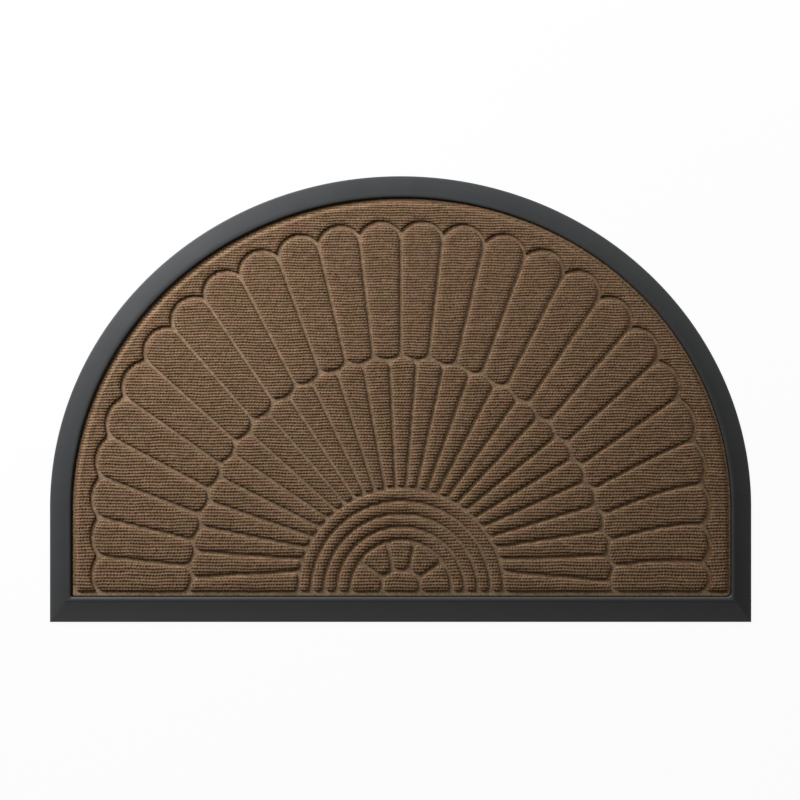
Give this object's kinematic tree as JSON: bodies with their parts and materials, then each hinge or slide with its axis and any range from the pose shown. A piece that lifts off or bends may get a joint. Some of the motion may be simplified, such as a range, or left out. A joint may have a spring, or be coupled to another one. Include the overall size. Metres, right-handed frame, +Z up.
{
  "type": "doormat",
  "caption": "Half-round doormat: a rubber tray with a sloped border holds a ribbed carpet face embossed with a fan of petals over an arched sunburst.",
  "frame": {"origin": "under the middle of the mat's bounding box, on the surface that it lies on", "axes": "+X along the straight front edge, +Y from the straight edge to the top of the arch, +Z up out of the carpet face"},
  "size_m": [0.914, 0.581, 0.0072],
  "materials": {
    "rubber": "satin dark grey moulded rubber",
    "carpet": "ribbed brown needle-punched pile with pressed smooth grooves"
  },
  "bodies": {
    "root": {"rubber_tray": "rubber", "carpet_face": "carpet"}
  },
  "joints": []
}
